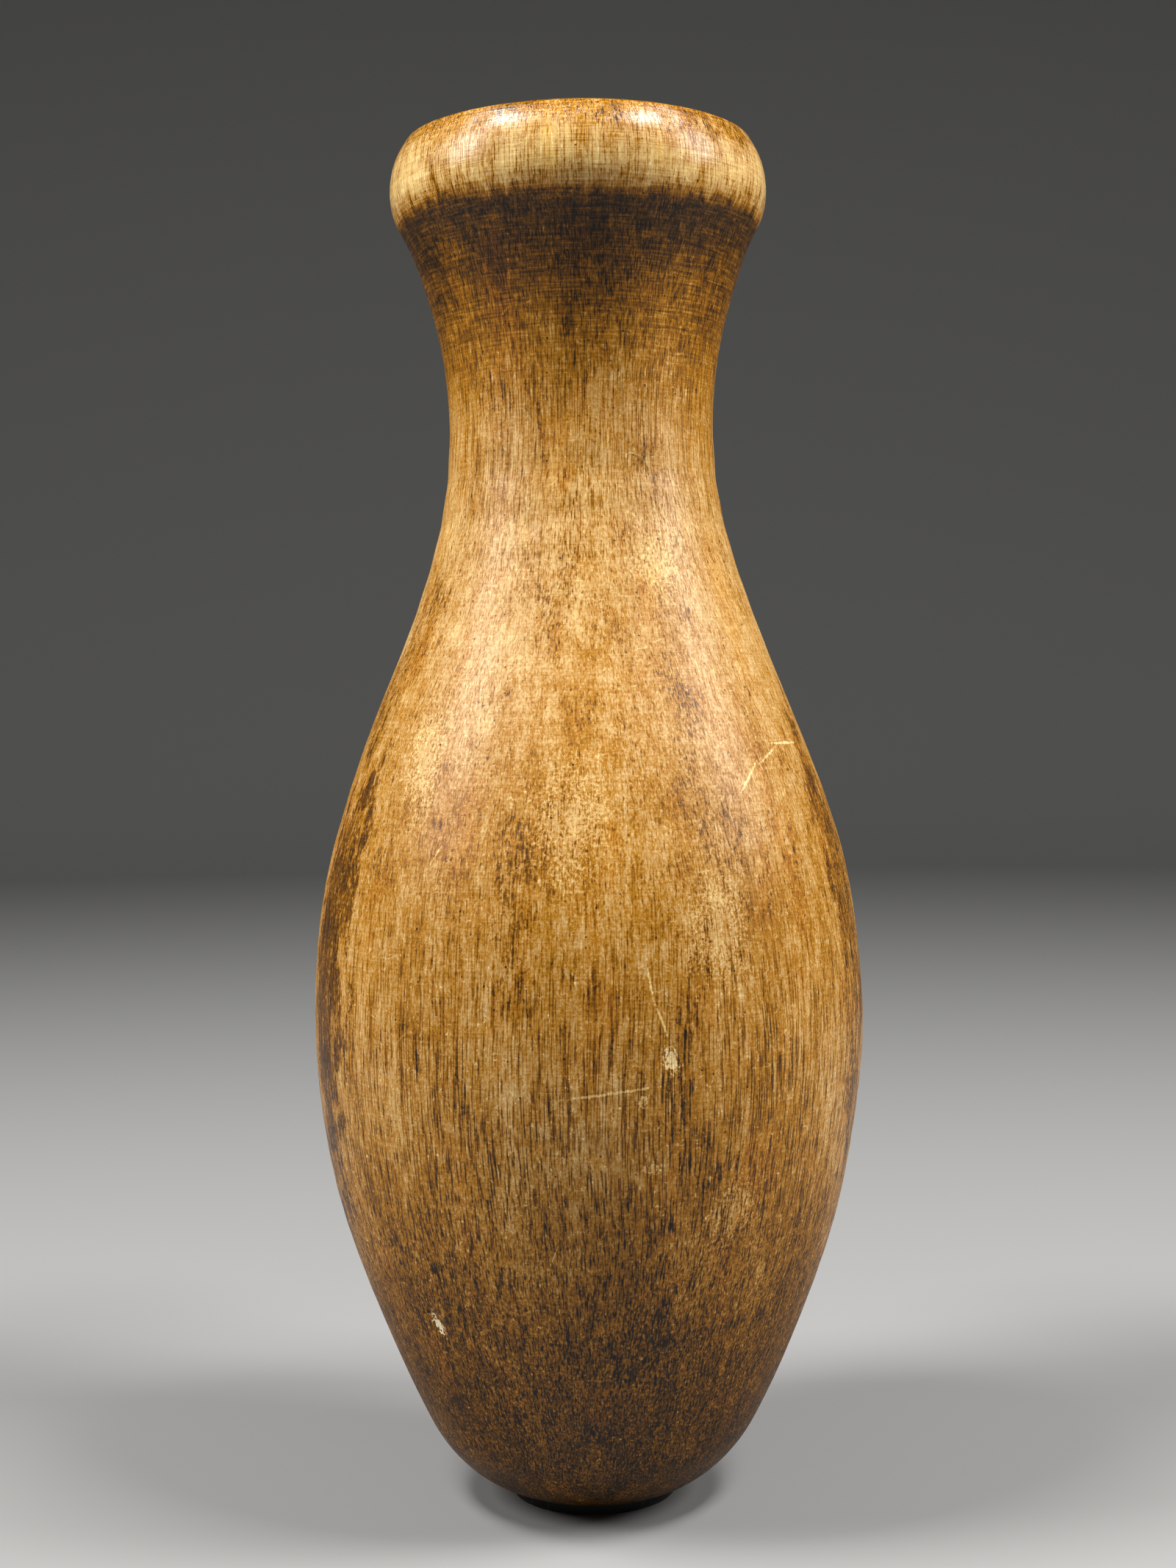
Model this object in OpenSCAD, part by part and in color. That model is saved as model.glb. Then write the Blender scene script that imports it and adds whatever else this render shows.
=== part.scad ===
// A small turned hardwood bowling pin, standing upright on a thin black base disc.
// Origin: centre of the face the pin stands on. +Z is the turning axis, towards the crown.
// The wood is one billet turned to a single outline. Under it sit a base disc, the screws
// that hold the disc, and a bush that lines the hole for a spotting peg.

/* [Overall] */
// Height from the floor to the top of the crown
pin_h = 254; // [250:1:262]
// Largest diameter, at the belly
belly_d = 101.6; // [96:0.2:108]
// Smallest diameter, at the neck
neck_d = 48.6; // [42:0.2:56]
// Largest diameter of the rounded head
head_d = 69.4; // [62:0.2:76]
// Diameter of the flat foot of the wood
foot_d = 31; // [29:0.2:36]

/* [Heights of the widest and narrowest places] */
// Height of the belly's largest diameter
belly_z = 90.5; // [80:0.5:100]
// Height of the neck's smallest diameter
neck_z = 197; // [188:0.5:204]
// Height of the head's largest diameter
head_z = 241; // [236:0.5:243]

/* [Base disc] */
// Thickness of the base disc
disc_t = 1.8; // [1.4:0.1:3]
// How far the disc's edge is set in from the edge of the foot
disc_inset = 0.4; // [0:0.1:1]
// Diameter of the hole through the middle of the disc
disc_hole_d = 14; // [13:0.2:15]

/* [Peg socket] */
// Diameter of the bore that takes the spotting peg
peg_d = 12.7; // [10:0.1:12.8]
// Wall thickness of the bush
bush_wall = 1.6; // [1:0.1:1.8]
// Length of the bush
bush_h = 31.8; // [20:0.2:40]

/* [Base screws] */
// Number of screws round the disc
screw_count = 3; // [2:1:6]
// Diameter of the circle that the screws stand on
screw_circle_d = 23; // [22.4:0.1:23.6]
// Diameter of the screw shank
screw_d = 2.2; // [1.8:0.1:2.4]
// Diameter of the countersunk head
screw_head_d = 4.2; // [3.6:0.1:4.4]
// Length of a screw from the face of its head to its point
screw_len = 12; // [8:0.5:16]

/* [Hidden] */

$fn = 96;
// straight pieces between two stations of the outline
curve_steps = 9;

belly_r = belly_d / 2;
neck_r = neck_d / 2;
head_r = head_d / 2;
foot_r = foot_d / 2;
bush_d = peg_d + 2 * bush_wall;

// countersink: the head sits below the face of the disc, so it never meets the floor
screw_sink = 0.3;
screw_head_t = (screw_head_d - screw_d) / 2;
screw_point_t = 2 * screw_d;
// screw slot
slot_w = 0.6;
slot_t = 0.5;
// a cut runs this far past the face it opens
past = 1;

// a value part of the way from a to b
function between(a, b, share) = a + (b - a) * share;

// Stations of the outline, foot to crown: [radius, height, direction of the surface there].
// The direction is in degrees from horizontal, outwards, so 90 is straight up.
foot = [foot_r, disc_t, 18];
heel = [between(foot_r, belly_r, 0.428), 0.06 * pin_h, 63];
flank = [between(foot_r, belly_r, 0.677), 0.137 * pin_h, 67.4];
belly = [belly_r, belly_z, 90];
shoulder = [between(neck_r, belly_r, 0.838), between(belly_z, neck_z, 0.305), 105.3];
neck = [neck_r, neck_z, 90];
flare = [between(neck_r, head_r, 0.327), between(neck_z, head_z, 0.546), 73.8];
lip = [between(neck_r, head_r, 0.836), between(neck_z, head_z, 0.855), 59.3];
head = [head_r, head_z, 90];
brow = [0.937 * head_r, between(head_z, pin_h, 0.6), 124];
rim = [0.899 * head_r, between(head_z, pin_h, 0.723), 161.6];
crown = [0, pin_h, 180];
stations = [foot, heel, flank, belly, shoulder, neck, flare, lip, head, brow, rim, crown];

// Point at share t of the smooth curve that leaves a and meets b in their own directions.
// The reach of its handles is the one that gives a round arc.
function blend(a, b, t) =
    let(chord = norm([b[0] - a[0], b[1] - a[1]]))
    let(reach = chord / (3 * pow(cos((b[2] - a[2]) / 4), 2)))
    let(u = 1 - t)
    [for (i = [0, 1])
        let(out = i == 0 ? cos(a[2]) : sin(a[2]))
        let(back = i == 0 ? cos(b[2]) : sin(b[2]))
        u * u * u * a[i] + 3 * u * u * t * (a[i] + reach * out)
            + 3 * u * t * t * (b[i] - reach * back) + t * t * t * b[i]];

outline = [
    for (s = [0:len(stations) - 2], k = [0:curve_steps - 1])
        blend(stations[s], stations[s + 1], k / curve_steps),
    [crown[0], crown[1]],
    [0, disc_t]
];

// places one copy of its child at every screw
module at_screws() {
    for (i = [0:screw_count - 1])
        rotate([0, 0, 90 + i * 360 / screw_count])
            translate([screw_circle_d / 2, 0, 0])
                children();
}

// countersunk head: a cone that narrows upwards to the shank
module screw_head(d) {
    cylinder(h = screw_head_t, d1 = d, d2 = screw_d);
}

// the turned wood, bored for the bush and drilled for the screws
module pin_body() {
    color("peru")
        difference() {
            rotate_extrude() polygon(outline);
            translate([0, 0, disc_t - past]) cylinder(h = bush_h + past, d = bush_d);
            at_screws() translate([0, 0, screw_sink]) screw_shaft();
        }
}

// black fibre disc that the pin stands on
module base_disc() {
    color("black")
        difference() {
            cylinder(h = disc_t, d = foot_d - 2 * disc_inset);
            translate([0, 0, -past]) cylinder(h = disc_t + 2 * past, d = disc_hole_d);
            at_screws() {
                translate([0, 0, -past]) cylinder(h = past + screw_sink, d = screw_head_d);
                translate([0, 0, screw_sink]) screw_head(screw_head_d);
                cylinder(h = disc_t + past, d = screw_d);
            }
        }
}

// brass tube that lines the peg hole; the disc holds it in
module peg_bush() {
    color("goldenrod")
        translate([0, 0, disc_t])
            difference() {
                cylinder(h = bush_h, d = bush_d);
                translate([0, 0, -past]) cylinder(h = bush_h + 2 * past, d = peg_d);
            }
}

// plain shaft and tapered point of one screw, from the face of its head
module screw_shaft() {
    cylinder(h = screw_len - screw_point_t, d = screw_d);
    translate([0, 0, screw_len - screw_point_t])
        cylinder(h = screw_point_t, d1 = screw_d, d2 = 0);
}

// the slotted countersunk screws that hold the disc
module base_screws() {
    color("gray")
        at_screws()
            translate([0, 0, screw_sink])
                difference() {
                    union() {
                        screw_head(screw_head_d);
                        screw_shaft();
                    }
                    translate([-screw_head_d, -slot_w / 2, -past])
                        cube([2 * screw_head_d, slot_w, slot_t + past]);
                }
}

pin_body();
base_disc();
peg_bush();
base_screws();
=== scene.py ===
"""A worn wooden bowling pin with an aged varnish, on a pale floor in soft studio light."""
import math
from collections import namedtuple

import bpy
import numpy as np
from mathutils import Matrix, Vector


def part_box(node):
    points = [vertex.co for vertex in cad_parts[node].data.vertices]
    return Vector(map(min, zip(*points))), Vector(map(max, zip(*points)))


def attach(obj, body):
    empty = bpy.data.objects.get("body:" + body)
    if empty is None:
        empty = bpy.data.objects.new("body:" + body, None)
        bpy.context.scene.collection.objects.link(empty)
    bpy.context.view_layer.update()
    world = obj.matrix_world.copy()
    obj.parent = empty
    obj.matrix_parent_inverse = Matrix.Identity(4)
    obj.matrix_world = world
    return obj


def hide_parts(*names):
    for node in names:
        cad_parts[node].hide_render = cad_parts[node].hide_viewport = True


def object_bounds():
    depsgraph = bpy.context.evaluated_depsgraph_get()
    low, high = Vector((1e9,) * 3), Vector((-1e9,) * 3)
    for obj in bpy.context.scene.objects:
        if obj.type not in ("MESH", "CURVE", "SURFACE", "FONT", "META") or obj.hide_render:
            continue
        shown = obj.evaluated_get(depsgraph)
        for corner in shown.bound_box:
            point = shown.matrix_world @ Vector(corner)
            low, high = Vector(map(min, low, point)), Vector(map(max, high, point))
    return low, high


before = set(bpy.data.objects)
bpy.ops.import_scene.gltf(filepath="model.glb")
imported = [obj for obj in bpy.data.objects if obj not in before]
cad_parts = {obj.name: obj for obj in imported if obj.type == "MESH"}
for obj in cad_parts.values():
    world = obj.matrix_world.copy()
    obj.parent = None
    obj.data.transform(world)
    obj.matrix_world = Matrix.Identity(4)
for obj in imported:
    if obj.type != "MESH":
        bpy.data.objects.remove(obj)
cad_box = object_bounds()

MM = 0.001
SEED = 27

low, high = cad_box
PIN_H = high[2] - low[2]


# ---------------------------------------------------------------- camera, lights and floor

def add_camera():
    """Stands in front of the pin, level with its shoulders, and looks a little down."""
    camera = bpy.data.objects.new("camera", bpy.data.cameras.new("camera"))
    camera.data.sensor_fit = "VERTICAL"
    camera.data.sensor_height = 36.0
    camera.data.lens = 50.63
    camera.data.clip_start = 0.01
    distance = 1.618 * PIN_H
    eye_height = 0.5776 * PIN_H
    aside = 0.42 * MM
    look_down = math.radians(2.0)
    roll = math.radians(-0.715)
    tilt = Matrix.Rotation(math.radians(90) - look_down, 4, "X")
    camera.matrix_world = (
        Matrix.Translation((aside, -distance, eye_height)) @ tilt @ Matrix.Rotation(roll, 4, "Z")
    )
    bpy.context.scene.collection.objects.link(camera)
    bpy.context.scene.camera = camera


def add_light(name, direction, distance, size, power):
    """An area light of the given (width, height), aimed at the middle of the pin."""
    target = Vector((0, 0, 0.55 * PIN_H))
    light = bpy.data.objects.new(name, bpy.data.lights.new(name, "AREA"))
    light.data.shape = "RECTANGLE"
    light.data.size, light.data.size_y = size
    light.data.energy = power
    light.location = target + Vector(direction).normalized() * distance
    light.rotation_euler = (light.location - target).to_track_quat("Z", "Y").to_euler()
    bpy.context.scene.collection.objects.link(light)


def add_lights():
    add_light("left_softbox", (-0.80, -0.24, 0.56), 0.95, (0.26, 0.42), 6.5)
    add_light("right_softbox", (0.84, -0.16, 0.54), 0.95, (0.30, 0.42), 6.6)
    add_light("left_strip", (-0.45, -0.20, 0.87), 0.95, (0.31, 0.14), 8.4)
    add_light("right_strip", (0.45, -0.24, 0.86), 0.95, (0.31, 0.14), 8.4)
    world = bpy.data.worlds.new("studio")
    world.use_nodes = True
    world.node_tree.nodes["Background"].inputs["Color"].default_value = (0.80, 0.86, 0.92, 1)
    world.node_tree.nodes["Background"].inputs["Strength"].default_value = 0.055
    bpy.context.scene.world = world
    bpy.context.scene.view_settings.view_transform = "Standard"


def add_floor():
    """A pale floor that curves up, far off, into a wall all round."""
    floor_r, wall_r, wall_h = 1.6, 2.4, 2.6
    bend = wall_r - floor_r
    quarter = [math.radians(a) for a in range(0, 91, 10)]
    outline = [(floor_r + bend * math.sin(a), bend * (1 - math.cos(a))) for a in quarter]
    outline.append((wall_r, wall_h))
    sides = 96
    turns = [2 * math.pi * i / sides for i in range(sides)]
    points = [(r * math.sin(t), r * math.cos(t), z) for r, z in outline for t in turns]
    faces = [tuple(range(sides))[::-1]]
    for ring in range(len(outline) - 1):
        for i in range(sides):
            a, b = ring * sides + i, ring * sides + (i + 1) % sides
            faces.append((a, b, b + sides, a + sides))
    mesh = bpy.data.meshes.new("floor")
    mesh.from_pydata(points, [], faces)
    mesh.shade_smooth()
    floor = bpy.data.objects.new("floor", mesh)
    bpy.context.scene.collection.objects.link(floor)
    graph = Graph("floor_paint")
    graph.finish(base_color=(0.29, 0.287, 0.28, 1), roughness=0.85, specular=0.2)
    mesh.materials.append(graph.material)


# ---------------------------------------------------------------- material graphs

def srgb(red, green, blue):
    """A colour given as 0 to 255 display values, as linear RGBA."""
    parts = [c / 255 for c in (red, green, blue)]
    linear = [c / 12.92 if c <= 0.04045 else ((c + 0.055) / 1.055) ** 2.4 for c in parts]
    return (*linear, 1.0)


class Graph:
    """The node tree of one material, with a short method for each kind of node."""

    def __init__(self, name):
        self.material = bpy.data.materials.new(name)
        self.material.use_nodes = True
        self.tree = self.material.node_tree
        self.tree.nodes.clear()
        self.place = self.node("TexCoord").outputs["Object"]

    def node(self, kind, **settings):
        made = self.tree.nodes.new("ShaderNode" + kind)
        for key, value in settings.items():
            setattr(made, key, value)
        return made

    def feed(self, socket, value):
        """Links an output to the socket, or sets the socket to a constant."""
        if isinstance(value, bpy.types.NodeSocket):
            self.tree.links.new(value, socket)
        else:
            socket.default_value = value

    def feed_all(self, made, *values):
        """Feeds the node's inputs in order, as many as there are values."""
        for socket, value in zip(made.inputs, values):
            self.feed(socket, value)
        return made

    def math(self, operation, *values):
        return self.feed_all(self.node("Math", operation=operation), *values).outputs[0]

    def add(self, a, b):
        return self.math("ADD", a, b)

    def times(self, a, b):
        return self.math("MULTIPLY", a, b)

    def mul_add(self, a, b, c):
        return self.math("MULTIPLY_ADD", a, b, c)

    def total(self, *terms):
        result = terms[0]
        for term in terms[1:]:
            result = self.add(result, term)
        return result

    def centred(self, noise, amount):
        """The noise, 0 to 1, as a change from -amount to +amount."""
        return self.mul_add(noise, 2 * amount, -amount)

    def vector(self, operation, *values):
        return self.feed_all(self.node("VectorMath", operation=operation), *values).outputs[0]

    def length(self, vector):
        made = self.node("VectorMath", operation="LENGTH")
        return self.feed_all(made, vector).outputs["Value"]

    def split(self, vector):
        return self.feed_all(self.node("SeparateXYZ"), vector).outputs

    def join(self, x, y, z):
        return self.feed_all(self.node("CombineXYZ"), x, y, z).outputs[0]

    def off_axis(self, place):
        """How far the place is from the vertical line through the origin."""
        x, y, _ = self.split(place)
        return self.length(self.join(x, y, 0.0))

    def in_cells(self, place, cell):
        """The place counted in cells of (x, y, z) mm."""
        return self.vector("DIVIDE", place, [size * MM for size in cell])

    def noise_node(self, place, cell, detail=2.0, roughness=0.5, distortion=0.0):
        """Smooth noise, 0 to 1, whose features are about cell = (x, y, z) mm long."""
        made = self.node("TexNoise", noise_dimensions="3D")
        self.feed(made.inputs["Vector"], self.in_cells(place, cell))
        self.feed(made.inputs["Scale"], 1.0)
        self.feed(made.inputs["Detail"], detail)
        self.feed(made.inputs["Roughness"], roughness)
        self.feed(made.inputs["Distortion"], distortion)
        return made

    def noise(self, *settings):
        return self.noise_node(*settings).outputs[0]

    def spots(self, place, cell, size, chance):
        """Scattered spots, at most one in each cell of (x, y, z) mm.

        size is how far out, in cells, a spot ends and where it is full. chance is the
        random number, 0 to 1, below which a spot is left out and above which it is whole.
        """
        made = self.node("TexVoronoi", feature="F1")
        self.feed(made.inputs["Vector"], self.in_cells(place, cell))
        self.feed(made.inputs["Scale"], 1.0)
        number = self.split(made.outputs["Color"])[0]
        return self.times(self.step(made.outputs["Distance"], *size), self.step(number, *chance))

    def hairs(self, place, cell, width):
        """Thin lines, shorter than a cell of that many mm, that start and stop at random."""
        winding = self.noise(place, [cell] * 3, 0.0, 0.4)
        off_line = self.math("ABSOLUTE", self.add(winding, -0.5))
        seen = self.noise(place, [0.45 * cell] * 3, 1.0)
        return self.times(self.step(off_line, width, 0.3 * width), self.step(seen, 0.56, 0.64))

    def step(self, value, start, end, low=0.0, high=1.0):
        """Goes smoothly from low to high as value goes from start to end."""
        made = self.node("MapRange", interpolation_type="SMOOTHSTEP")
        return self.feed_all(made, value, start, end, low, high).outputs[0]

    def patch(self, mark, ragged, reach):
        """1 inside the mark and 0 outside it. ragged is a noise that breaks up its edge."""
        turn = math.radians(mark.azimuth)
        radius = surface_radius(mark.share)
        made = self.node("Mapping", vector_type="TEXTURE")
        self.feed(made.inputs["Vector"], self.place)
        spot = (radius * math.sin(turn), -radius * math.cos(turn), mark.share * PIN_H)
        self.feed(made.inputs["Location"], spot)
        self.feed(made.inputs["Rotation"], (0.0, math.radians(mark.lean), turn))
        self.feed(made.inputs["Scale"], (mark.wide * MM, MARK_DEEP * MM, mark.tall * MM))
        far = self.length(made.outputs[0])
        return self.step(self.mul_add(ragged, reach, far), MARK_EDGE, MARK_CORE)

    def ramp(self, value, stops):
        """A colour ramp. stops are (position, colour)."""
        made = self.node("ValToRGB")
        elements = made.color_ramp.elements
        while len(elements) < len(stops):
            elements.new(1.0)
        for element, (position, colour) in zip(elements, stops):
            element.position = position
            element.color = colour
        return self.feed_all(made, value).outputs[0]

    def curve(self, value, stops):
        """A number that follows the given (position, number) stops, each number 0 to 1."""
        return self.ramp(value, [(p, (n, n, n, 1)) for p, n in stops])

    def mix(self, factor, a, b, blend="MIX"):
        made = self.node("Mix", data_type="RGBA", blend_type=blend)
        self.feed(made.inputs[0], factor)
        self.feed(made.inputs[6], a)
        self.feed(made.inputs[7], b)
        return made.outputs[2]

    def bump(self, height, depth, normal=None):
        """A bumped normal. depth is how far, in metres, a height of 1 stands proud."""
        made = self.node("Bump")
        self.feed(made.inputs["Strength"], 1.0)
        self.feed(made.inputs["Distance"], depth)
        self.feed(made.inputs["Height"], height)
        if normal is not None:
            self.feed(made.inputs["Normal"], normal)
        return made.outputs[0]

    def finish(self, base_color, roughness, metallic=0.0, specular=0.5,
               coat=0.0, coat_roughness=0.1, normal=None):
        shader = self.node("BsdfPrincipled")
        self.feed(shader.inputs["Base Color"], base_color)
        self.feed(shader.inputs["Roughness"], roughness)
        self.feed(shader.inputs["Metallic"], metallic)
        self.feed(shader.inputs["Specular IOR Level"], specular)
        self.feed(shader.inputs["Coat Weight"], coat)
        self.feed(shader.inputs["Coat Roughness"], coat_roughness)
        if normal is not None:
            self.feed(shader.inputs["Normal"], normal)
            self.feed(shader.inputs["Coat Normal"], normal)
        output = self.node("OutputMaterial")
        self.tree.links.new(shader.outputs[0], output.inputs["Surface"])
        return self.material


# ---------------------------------------------------------------- the turned body

# Points round the body and along its outline
SLICES = 384
RINGS = 250

# How far the surface strays from a true turned one, in mm
UNEVENNESS = 0.10

RANDOM_DENTS = 90


def cad_outline(node):
    """(radius, height) of each turned edge on the outside of the CAD body, foot to crown.

    The bore's edges are nearer the axis than the foot's, and only the crown comes in as far.
    """
    points = np.array([v.co for v in node.data.vertices])
    radii = np.hypot(points[:, 0], points[:, 1])
    heights = np.round(points[:, 2], 6)
    foot_r = radii[heights == heights.min()].max()
    crown_z = 0.95 * PIN_H
    outline = []
    for height in np.unique(heights):
        radius = radii[heights == height].max()
        if radius > 0.999 * foot_r or height > crown_z:
            outline.append((radius, height))
    return np.array(outline)


def spline(knots, values):
    """A natural cubic spline through values at knots, as a function."""
    gaps = np.diff(knots)
    count = len(knots)
    matrix = np.eye(count)
    right = np.zeros(count)
    for i in range(1, count - 1):
        matrix[i, i - 1:i + 2] = gaps[i - 1], 2 * (gaps[i - 1] + gaps[i]), gaps[i]
        slopes = np.diff(values[i - 1:i + 2]) / gaps[i - 1:i + 1]
        right[i] = 6 * (slopes[1] - slopes[0])
    bend = np.linalg.solve(matrix, right)

    def at(s):
        i = np.clip(np.searchsorted(knots, s) - 1, 0, count - 2)
        gap, after, before = gaps[i], s - knots[i], knots[i + 1] - s
        return (
            (bend[i] * before ** 3 + bend[i + 1] * after ** 3) / (6 * gap)
            + (values[i] / gap - bend[i] * gap / 6) * before
            + (values[i + 1] / gap - bend[i + 1] * gap / 6) * after
        )

    return at


def surface_radius(share):
    """Radius of the CAD body's outside at a share of its height."""
    radii, heights = cad_outline(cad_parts["pin_body"]).T
    return float(np.interp(share * PIN_H, heights, radii))


def smooth_outline(outline, count):
    """count points along the outline, closer together where it bends, with outward normals."""
    past_axis = outline[-2::-1][:6] * (-1, 1)
    knots = np.vstack([outline, past_axis])
    along = np.concatenate([[0], np.cumsum(np.hypot(*np.diff(knots, axis=0).T))])
    radius, height = spline(along, knots[:, 0]), spline(along, knots[:, 1])
    fine = np.linspace(0, along[len(outline) - 1], 6000)
    heading = np.unwrap(np.arctan2(np.gradient(height(fine)), np.gradient(radius(fine))))
    turning = np.abs(np.gradient(heading, fine))
    sharpest = 0.5 / MM
    closeness = 1 + 6 * MM * np.minimum(turning, sharpest)
    share = np.concatenate([[0], np.cumsum((closeness[1:] + closeness[:-1]) / 2)])
    s = np.interp(np.linspace(0, share[-1], count), share, fine)
    facing = np.interp(s, fine, heading) - math.pi / 2
    return radius(s), height(s), np.cos(facing), np.sin(facing)


def slow_waves(azimuth, height, rng, count=9):
    """Smooth unevenness between about -1 and 1, the same after a full turn."""
    total = np.zeros_like(azimuth * height)
    for _ in range(count):
        turns = rng.integers(0, 5)
        waves = rng.uniform(-9, 9) * 2 * math.pi
        total += np.sin(turns * azimuth + waves * height + rng.uniform(0, 2 * math.pi))
    return total / math.sqrt(count)


# One mark on the surface. share of the pin's height, azimuth in degrees from the front
# towards +X, half height and half width in mm, lean to the right in degrees.
Mark = namedtuple("Mark", "share azimuth tall wide lean")

# How deep a mark colours the wood in mm, and how far out from its middle, as a share of its
# size, its colour ends and is full
MARK_DEEP = 12
MARK_EDGE = 1.0
MARK_CORE = 0.45

# Knocks that went into the wood, and how deep in mm
DENTS = [
    (Mark(0.157, -40.7, 3.0, 1.3, -20), 0.55),
    (Mark(0.700, -19.9, 2.2, 0.8, -28), 0.40),
    (Mark(0.331, -43.8, 1.0, 2.4, 15), 0.30),
    (Mark(0.347, 15.5, 2.6, 1.6, -15), 0.22),
    (Mark(0.276, 12.3, 2.2, 1.8, 0), 0.18),
    (Mark(0.117, -23.0, 1.2, 2.6, -25), 0.30),
    (Mark(0.549, 1.6, 0.9, 0.9, 0), 0.30),
    (Mark(0.066, -42.8, 1.3, 1.0, -10), 0.35),
    (Mark(0.070, -35.9, 1.0, 0.9, 20), 0.30),
    (Mark(0.497, -15.5, 1.6, 1.2, 0), 0.15),
]


def dent(azimuth, height, radius, mark, depth):
    """How far a smooth hollow goes in at each point of the surface."""
    turn = (azimuth - math.radians(mark.azimuth) + math.pi) % (2 * math.pi) - math.pi
    across = turn * radius
    up = height - mark.share * PIN_H
    lean = math.radians(mark.lean)
    u = (across * math.cos(lean) - up * math.sin(lean)) / (mark.wide * MM)
    v = (up * math.cos(lean) + across * math.sin(lean)) / (mark.tall * MM)
    return depth * MM * np.exp(-(u * u + v * v))


# Where random knocks fall: the middle and the spread of each zone, as shares of the pin's
# height, and its part of all the knocks
KNOCK_ZONES = [(0.36, 0.11, 0.55), (0.93, 0.03, 0.25), (0.04, 0.03, 0.2)]


def scattered_dents(rng, count):
    """Small knocks all round: most on the belly and the head, where pins hit each other."""
    found = []
    for _ in range(count):
        zone = rng.choice(len(KNOCK_ZONES), p=[part for _, _, part in KNOCK_ZONES])
        middle, spread, _ = KNOCK_ZONES[zone]
        share = float(np.clip(rng.normal(middle, spread), 0.012, 0.975))
        tall, wide = rng.uniform(0.8, 2.4, 2)
        mark = Mark(share, rng.uniform(-180, 180), tall, wide, rng.uniform(-60, 60))
        found.append((mark, rng.uniform(0.04, 0.22)))
    return found


def relief(azimuth, height, radius):
    """How far each point of the turned surface stands in or out, in metres."""
    rng = np.random.default_rng(SEED)
    result = UNEVENNESS * MM * slow_waves(azimuth, height / PIN_H, rng)
    for mark, depth in DENTS + scattered_dents(rng, RANDOM_DENTS):
        result = result - dent(azimuth, height, radius, mark, depth)
    return result


def outside_rings(outline, azimuth):
    """(radius, height) of each point of the turned outside, in rings from the foot upwards.

    The top of the crown is left out, because it is a single point and not a ring.
    """
    smooth = smooth_outline(outline, RINGS)
    radius, height, out_r, out_z = (values[:-1, None] for values in smooth)
    flat_foot = np.clip((height - height[0]) / (2 * MM), 0, 1)
    near_axis = np.clip(radius / (4 * MM), 0, 1)
    push = relief(azimuth, height, radius) * flat_foot * near_axis
    return np.stack([radius + push * out_r, height + push * out_z], -1)


def body_faces(count):
    """Faces between neighbouring rings, and a fan that closes the first and the last ring."""
    ring, here = np.meshgrid(np.arange(count - 1), np.arange(SLICES), indexing="ij")
    after = (here + 1) % SLICES
    below, above = ring * SLICES, (ring + 1) * SLICES
    quads = np.stack([below + here, below + after, above + after, above + here], -1)
    bore_end, crown_top = count * SLICES, count * SLICES + 1
    top = (count - 1) * SLICES
    turn = [(i, (i + 1) % SLICES) for i in range(SLICES)]
    inner_fan = [(bore_end, b, a) for a, b in turn]
    crown_fan = [(crown_top, top + a, top + b) for a, b in turn]
    return quads.reshape(-1, 4).tolist() + inner_fan + crown_fan


def body_mesh():
    """The wooden billet: turned outside, flat foot and the bore that holds the bush."""
    azimuth = np.linspace(0, 2 * math.pi, SLICES, endpoint=False)
    outline = cad_outline(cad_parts["pin_body"])
    bush_low, bush_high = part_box("peg_bush")
    bore = [np.full((1, SLICES, 2), (bush_high.x, end.z)) for end in (bush_high, bush_low)]
    grid = np.concatenate(bore + [outside_rings(outline, azimuth)])
    radius, z = grid[..., 0], grid[..., 1]
    points = np.stack([radius * np.sin(azimuth), -radius * np.cos(azimuth), z], -1)
    bore_end = (0, 0, bush_high.z)
    crown_top = (0, 0, outline[-1, 1])
    points = np.vstack([points.reshape(-1, 3), [bore_end, crown_top]])
    mesh = bpy.data.meshes.new("turned_body")
    mesh.from_pydata(points.tolist(), [], body_faces(len(grid)))
    mesh.validate()
    mesh.shade_smooth()
    mesh.set_sharp_from_angle(angle=math.radians(40))
    return mesh


def make_body():
    """Shows the visible body in place of the CAD one."""
    mesh = body_mesh()
    body = bpy.data.objects.new("turned_body", mesh)
    bpy.context.scene.collection.objects.link(body)
    mesh.materials.append(wood_material())
    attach(body, "root")
    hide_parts("pin_body")


# ---------------------------------------------------------------- stained and varnished wood

# Zones along the pin. Each is given as the share of the pin's height where it begins and
# the share where it is full.
FOOT = (0.30, 0.08)
LOW_DOWN = (0.46, 0.31)
NECK_AND_UP = (0.62, 0.72)
UP_TOP = (0.79, 0.86)
HOLLOW = (0.78, 0.87)
HEAD = (0.925, 0.935)
CROWN = (0.974, 0.990)

# The pith of the billet, which grew behind the pin, and the width of a year's growth
PITH = (20 * MM, 100 * MM, 0.0)
YEAR = 3.1 * MM

# The dimple left by the lathe's point, painted as a dark spot of shade because the mesh is not
# sunk there: its outer edge and its full inside
CENTRE_MARK = (1.6 * MM, 0.9 * MM)

# What the varnish lets through, and the tint of the grime and of the painted shade in the smears
AMBER_TINT = (1.0, 0.90, 0.62, 1)
DIRT_AND_SHADE_TINT = (0.90, 0.88, 0.90, 1)

# Colour at each tone, from a bare chip to thick grime, the dark end also standing for painted
# shade; the greyish stops at 0.30 and 0.37, which the shoulders use, are stain with painted haze
# of the varnish's sheen
TONE_COLOURS = [
    (0.00, srgb(252, 240, 206)),
    (0.16, srgb(232, 196, 120)),
    # Greyed stain, with painted haze of the varnish's sheen, here and in the next stop
    (0.30, srgb(208, 168, 108)),
    (0.37, srgb(191, 148, 86)),
    (0.46, srgb(176, 119, 22)),
    (0.55, srgb(146, 93, 2)),
    (0.70, srgb(96, 58, 0)),
    (0.86, srgb(46, 26, 0)),
    (1.00, srgb(16, 8, 1)),
]
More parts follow.
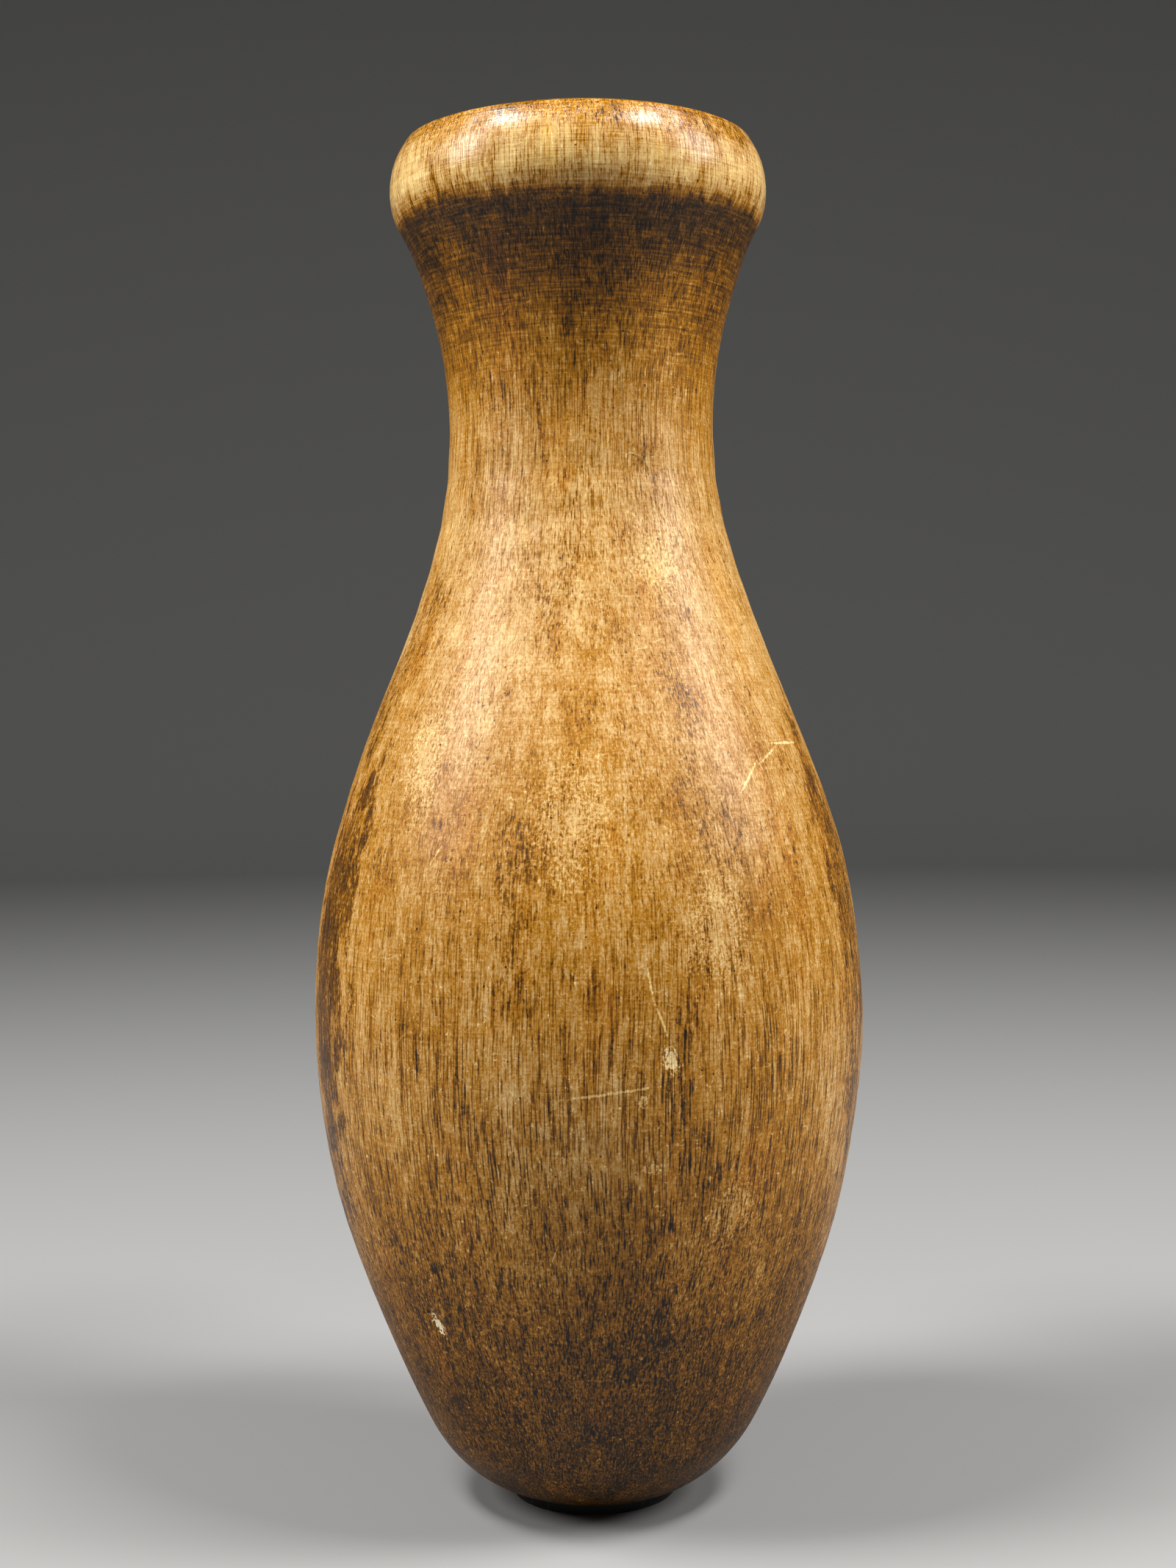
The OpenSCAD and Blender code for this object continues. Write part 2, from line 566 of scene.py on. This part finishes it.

# Tone at each share of the pin's height. From 0.83 to the head's lip at 0.921 the dark tone is
# partly the wood's own grime and partly painted shade under the lip, and it turns pale sharply at
# the lip's edge.
TONE_BY_HEIGHT = [
    (0.00, 0.74), (0.05, 0.71), (0.12, 0.63), (0.20, 0.52), (0.28, 0.43), (0.38, 0.415),
    # From 0.83 here to 0.921 on the next line, under the head's lip: partly grime, partly painted
    # shade
    (0.48, 0.43), (0.60, 0.385), (0.70, 0.34), (0.78, 0.39), (0.83, 0.53), (0.87, 0.61),
    (0.905, 0.75), (0.921, 0.78), (0.930, 0.37), (0.945, 0.24), (0.960, 0.29), (0.975, 0.42),
    (1.00, 0.52),
]

# Dark smears of handling dirt and of painted shade, and how thick each is. The smear under the
# head at the front and the two low on the front are painted shade; the long bands near azimuths
# -67, -66 and 72 darken the sides as seen from the front.
SMEARS_AND_SHADE = [
    (Mark(0.470, -15.0, 22.0, 3.5, 2), 0.60),
    (Mark(0.400, -13.0, 9.0, 3.5, 10), 0.50),
    (Mark(0.510, 25.0, 14.0, 4.0, -8), 0.60),
    (Mark(0.345, 19.0, 26.0, 4.0, 3), 0.50),
    (Mark(0.658, -6.0, 8.0, 4.0, 20), 0.60),
    (Mark(0.628, 8.0, 7.0, 4.5, -25), 0.60),
    (Mark(0.578, 27.0, 14.0, 3.0, -10), 0.45),
    (Mark(0.460, 31.0, 16.0, 4.0, 5), 0.40),
    # Long dark bands near the left and right edges as seen from the front, at azimuths -67, -66
    # and 72
    (Mark(0.420, -67.0, 64.0, 11.0, 3), 1.60),
    (Mark(0.610, -66.0, 30.0, 9.0, 12), 0.80),
    (Mark(0.450, 72.0, 60.0, 10.0, -3), 1.20),
    (Mark(0.760, 22.0, 8.0, 3.0, 0), 0.40),
    (Mark(0.790, -38.0, 7.0, 4.0, 0), 0.40),
    # Painted shade under the head's lip, at the front
    (Mark(0.870, 4.0, 14.0, 7.0, 0), 0.80),
    # Painted shade on the lower front, which the side lights leave darker, here and on the next
    # line
    (Mark(0.120, 4.0, 30.0, 16.0, 0), 0.45),
    (Mark(0.190, 14.0, 14.0, 6.0, 0), 0.45),
]

# Spots where the varnish and stain are gone, and how much paler each is
BARE_SPOTS = [
    (Mark(0.157, -40.7, 2.4, 0.9, -20), 0.80),
    (Mark(0.347, 15.5, 2.6, 1.3, -15), 0.36),
    (Mark(0.276, 12.3, 1.0, 1.8, 0), 0.22),
    (Mark(0.321, 10.0, 1.2, 0.8, 30), 0.22),
    (Mark(0.430, 27.0, 9.0, 5.0, 0), 0.12),
    (Mark(0.500, -4.0, 10.0, 6.0, 0), 0.10),
    (Mark(0.540, -42.0, 9.0, 4.0, -10), 0.12),
    (Mark(0.675, 27.0, 5.0, 4.0, 0), 0.10),
    (Mark(0.240, 30.0, 6.0, 4.0, 30), 0.12),
]

# Single scratches through the varnish
SCRATCHES = [
    Mark(0.327, 3.7, 0.30, 9.0, -6.6),
    Mark(0.398, 11.8, 4.0, 0.28, -10),
    Mark(0.374, 13.8, 3.5, 0.28, -20),
    Mark(0.529, 41.0, 0.30, 5.0, -42),
    Mark(0.543, 50.0, 0.30, 4.0, -24),
    Mark(0.551, 60.0, 0.30, 6.0, 0),
    Mark(0.480, -33.0, 3.0, 0.17, 30),
    Mark(0.215, -8.0, 2.6, 0.13, 24),
]


class Wood(Graph):
    """Stained and varnished wood. Each method adds a layer, and the later ones use the earlier.

    A tone is a place in TONE_COLOURS, so a larger one is darker. The numbers beside the patterns are
    changes of tone.
    """

    def __init__(self):
        super().__init__("varnished_wood")
        self.share = self.math("DIVIDE", self.split(self.place)[2], PIN_H)
        self.fibre = self.fibre_place()
        self.drawn = self.surface_place()

    def fibre_place(self):
        """The place in the billet, with the fibres' slow wander taken out."""
        wander = self.noise_node(self.place, (30, 30, 50), 1.0).outputs["Color"]
        shift = self.vector("SUBTRACT", wander, (0.5, 0.5, 0.5))
        return self.vector("MULTIPLY_ADD", shift, (4 * MM, 4 * MM, 0.0), self.place)

    def surface_place(self):
        """The fibres' place drawn out, so that lines on the surface run on over its slopes."""
        x, y, z = self.split(self.fibre)
        radius = self.math("MAXIMUM", self.off_axis(self.fibre), MM)
        stretch = self.math("POWER", self.math("DIVIDE", 40 * MM, radius), 0.6)
        return self.join(self.times(x, stretch), self.times(y, stretch), z)

    def find_zones(self):
        """1 inside each zone and 0 outside it."""
        self.low_down = self.step(self.share, *LOW_DOWN)
        self.up_top = self.step(self.share, *UP_TOP)
        self.on_head = self.step(self.share, *HEAD)
        under_head = self.step(self.share, *HEAD[::-1])
        self.hollow = self.times(self.step(self.share, *HOLLOW), under_head)
        self.crown = self.step(self.share, *CROWN)

    def grow_fibres(self):
        """Streaks, fine lines and pores that run with the fibres."""
        self.broad = self.noise(self.fibre, (6, 6, 100), 3.0, 0.55)
        self.streak = self.noise(self.drawn, (1.6, 1.6, 30), 3.0, 0.6)
        self.line = self.noise(self.drawn, (0.28, 0.28, 9), 1.5, 0.55)
        streaked_line = self.add(self.line, self.centred(self.streak, 0.07))
        self.dark_line = self.step(streaked_line, 0.50, 0.64)
        self.fur = self.noise(self.fibre, (0.30, 0.30, 3), 1.0)
        self.pore = self.spots(self.drawn, (0.62, 0.62, 5), (0.34, 0.14), (0.55, 0.85))
        self.gold = self.step(self.noise(self.drawn, (1.1, 1.1, 6), 2.0, 0.6), 0.50, 0.66)

    def grow_rings(self):
        """The dark late wood of each growth ring."""
        from_pith = self.off_axis(self.vector("SUBTRACT", self.fibre, PITH))
        season = self.math("FRACT", self.math("DIVIDE", from_pith, YEAR))
        self.late = self.math("POWER", season, 3.0)

    def turn_on_lathe(self):
        """Tool marks that run round the pin, and coarser ones for the hollow."""
        self.turned = self.noise(self.place, (8, 8, 0.30), 3.0, 0.6)
        self.chatter = self.noise(self.place, (7, 7, 0.6), 3.0, 0.6, 1.2)

    def cut_crown(self):
        """End grain with rings left by the lathe, and painted shade where the lathe's point left
        a dimple.
        """
        from_axis = self.off_axis(self.place)
        lathe = self.noise(self.join(from_axis, 0.0, 0.0), (0.8, 1000, 1000), 2.0, 0.6)
        end_pore = self.spots(self.fibre, (0.8, 0.8, 20), (0.30, 0.12), (0.30, 0.60))
        self.end_grain = self.total(
            self.times(self.late, 0.07), self.centred(lathe, 0.20), self.times(end_pore, 0.12)
        )
        self.centre_dimple_shade = self.step(from_axis, *CENTRE_MARK)

    def stain(self):
        """The tone by height, with uneven edges between one height and the next. Under the head's
        lip it is partly painted shade.
        """
        self.blotch = self.noise(self.place, (20, 20, 34), 3.0, 0.6)
        self.mottle = self.noise(self.place, (3.4, 3.4, 4.4), 3.0, 0.6, 0.5)
        self.speckle = self.noise(self.place, (0.42, 0.42, 0.55), 2.0, 0.7)
        edge = self.centred(self.noise(self.drawn, (2, 2, 20), 3.0, 0.6), 0.010)
        uneven = self.total(self.share, edge, self.centred(self.blotch, 0.008))
        self.base = self.curve(uneven, TONE_BY_HEIGHT)

    def soil(self):
        """Dirt in soft clouds, thicker in the smears, some of which are painted shade, and the
        specks of it the grain holds.
        """
        self.dirt_and_shade = self.step(self.noise(self.place, (7, 7, 20), 4.0, 0.7), 0.40, 0.80)
        ragged = self.centred(self.noise(self.drawn, (3, 3, 9), 4.0, 0.75), 1.0)
        for mark, thick in SMEARS_AND_SHADE:
            self.dirt_and_shade = self.mul_add(self.patch(mark, ragged, 1.8), thick, self.dirt_and_shade)
        grit = self.noise(self.place, (0.65, 0.65, 1.0), 3.0, 0.7)
        held = self.total(
            self.times(grit, 0.65), self.times(self.line, 0.35), self.times(self.dirt_and_shade, 0.11)
        )
        self.specks = self.step(held, 0.585, 0.68)

    def fine_grain(self):
        """Fine grain, which is stronger on dark wood and weaker in the hollow."""
        grain = self.times(self.centred(self.speckle, 0.18), self.mul_add(self.hollow, -0.5, 1.0))
        grain = self.add(grain, self.centred(self.fur, 0.12))
        on_dark = self.step(self.base, 0.36, 0.62, 1.1, 2.1)
        return self.times(grain, self.mul_add(self.hollow, -0.7, on_dark))

    def wood_tone(self):
        """The tone of the wood under its varnish, with the painted shade that the height tones
        and the smears carry.
        """
        from_neck = self.step(self.share, *NECK_AND_UP)
        mottled = self.total(1.0, self.times(self.on_head, 1.2), self.times(self.crown, -1.4))
        lined = self.total(0.08, self.times(self.low_down, 0.17), self.times(from_neck, 0.09))
        return self.total(
            self.base,
            self.centred(self.broad, 0.09),
            self.centred(self.streak, 0.11),
            self.centred(self.blotch, 0.11),
            self.times(self.centred(self.mottle, 0.08), mottled),
            self.fine_grain(),
            self.times(self.dark_line, lined),
            self.times(self.gold, -0.06),
            self.times(self.late, 0.03),
            self.times(self.centred(self.turned, 0.16), self.mul_add(self.up_top, 0.7, 0.6)),
            self.times(self.centred(self.chatter, 0.24), self.hollow),
            self.times(self.dirt_and_shade, 0.05),
            self.times(self.specks, self.mul_add(self.hollow, -0.12, 0.19)),
            self.times(self.pore, self.mul_add(self.low_down, 0.15, 0.08)),
            self.times(self.end_grain, self.crown),
            # Painted shade in the dimple left by the lathe's point
            self.times(self.centre_dimple_shade, 0.30),
        )

    def wear(self, tone):
        """The tone with pale flecks, which are chips in the varnish and painted glints, and with
        pits and hairlines in the varnish, which come all over.
        """
        fleck_noise = self.noise(self.place, (0.60, 0.60, 0.80), 2.0, 0.6)
        below_head = self.step(self.share, 0.80, 0.60, 0.3, 1.0)
        worn = self.times(below_head, self.centred(self.mottle, 0.08))
        fleck_and_glint = self.step(self.add(fleck_noise, worn), 0.66, 0.72)
        self.pit = self.spots(self.place, (1.9, 1.9, 1.9), (0.13, 0.06), (0.72, 0.80))
        hair = self.math(
            "MAXIMUM", self.hairs(self.place, 4.5, 0.012), self.hairs(self.drawn, 2.0, 0.018)
        )
        # Pale flecks: chips in the varnish and painted glints
        tone = self.mul_add(fleck_and_glint, self.mul_add(self.low_down, -0.14, -0.14), tone)
        tone = self.mul_add(self.pit, 0.35, tone)
        return self.mul_add(hair, -0.14, tone)

    def scratch(self, tone):
        """The tone with the single scratches and bare spots."""
        broken = self.centred(self.speckle, 1.0)
        for mark in SCRATCHES:
            tone = self.mul_add(self.patch(mark, broken, 0.9), -0.26, tone)
        for mark, paler in BARE_SPOTS:
            tone = self.mul_add(self.patch(mark, broken, 1.8), -paler, tone)
        return tone

    def colour(self, tone):
        """The colour at that tone, under amber varnish, and darkened by grime and by the painted
        shade of the smears.
        """
        amber = self.step(self.noise(self.drawn, (8, 8, 30), 3.0, 0.6), 0.50, 0.72)
        varnished = self.mix(amber, self.ramp(tone, TONE_COLOURS), AMBER_TINT, "MULTIPLY")
        # Darker where grime and the painted shade of the smears lie
        dirt_and_shade_cover = self.math("MINIMUM", self.times(self.dirt_and_shade, 0.5), 1.0)
        return self.mix(dirt_and_shade_cover, varnished, DIRT_AND_SHADE_TINT, "MULTIPLY")

    def roughness(self):
        """Worn satin varnish, glossier on the head and duller at the foot."""
        return self.total(
            0.44,
            self.centred(self.blotch, 0.08),
            self.centred(self.speckle, 0.12),
            self.times(self.step(self.share, *FOOT), 0.14),
            self.times(self.on_head, -0.22),
        )

    def normal(self):
        """Crazed varnish and tool marks, with the dark lines and the pits sunk in."""
        crazing = self.noise(self.place, (0.7, 0.7, 0.7), 3.0, 0.6)
        normal = self.bump(crazing, self.mul_add(self.on_head, -0.045 * MM, 0.06 * MM))
        normal = self.bump(self.turned, self.mul_add(self.up_top, 0.03 * MM, 0.01 * MM), normal)
        return self.bump(self.math("MAXIMUM", self.dark_line, self.pit), -0.02 * MM, normal)


def wood_material():
    wood = Wood()
    wood.find_zones()
    wood.grow_fibres()
    wood.grow_rings()
    wood.turn_on_lathe()
    wood.cut_crown()
    wood.stain()
    wood.soil()
    tone = wood.scratch(wood.wear(wood.wood_tone()))
    return wood.finish(wood.colour(tone), wood.roughness(), specular=0.27, coat=0.12,
                       coat_roughness=0.2, normal=wood.normal())


# ---------------------------------------------------------------- base disc, bush and screws

def dress(node, material):
    """Gives a CAD node its material."""
    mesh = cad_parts[node].data
    mesh.materials.clear()
    mesh.materials.append(material)


# A black disc under the foot: a guessed fibre base, made black as painted shade, so that the dark
# gap under the foot shows on the pale floor
def black_disc_material():
    g = Graph("black_fibre")
    scuff = g.noise(g.place, (3, 0.6, 3), 4.0, 0.6)
    grit = g.noise(g.place, (0.4, 0.4, 0.4), 3.0, 0.6)
    worn = g.step(scuff, 0.52, 0.72)
    colour = g.mix(worn, srgb(24, 23, 22), srgb(62, 58, 53))
    rough = g.mul_add(scuff, 0.25, 0.55)
    return g.finish(colour, rough, normal=g.bump(grit, 0.03 * MM))


def brass_material():
    g = Graph("dull_brass")
    drawn = g.noise(g.place, (0.3, 0.3, 20), 3.0, 0.6)
    tarnish = g.noise(g.place, (4, 4, 6), 4.0, 0.6)
    colour = g.mix(g.step(tarnish, 0.4, 0.65), srgb(196, 158, 84), srgb(112, 82, 44))
    rough = g.mul_add(tarnish, 0.35, 0.22)
    return g.finish(colour, rough, metallic=1.0, normal=g.bump(drawn, 0.01 * MM))


def steel_material():
    g = Graph("dull_steel")
    rust = g.noise(g.place, (1.2, 1.2, 1.2), 4.0, 0.65)
    brushed = g.noise(g.place, (0.2, 2, 2), 3.0, 0.5)
    colour = g.mix(g.step(rust, 0.45, 0.68), srgb(168, 165, 160), srgb(96, 70, 50))
    rough = g.mul_add(rust, 0.4, 0.25)
    return g.finish(colour, rough, metallic=0.9, normal=g.bump(brushed, 0.008 * MM))


add_camera()
add_lights()
add_floor()
make_body()
# The base disc is black as painted shade under the foot
dress("base_disc", black_disc_material())
dress("peg_bush", brass_material())
dress("base_screws", steel_material())
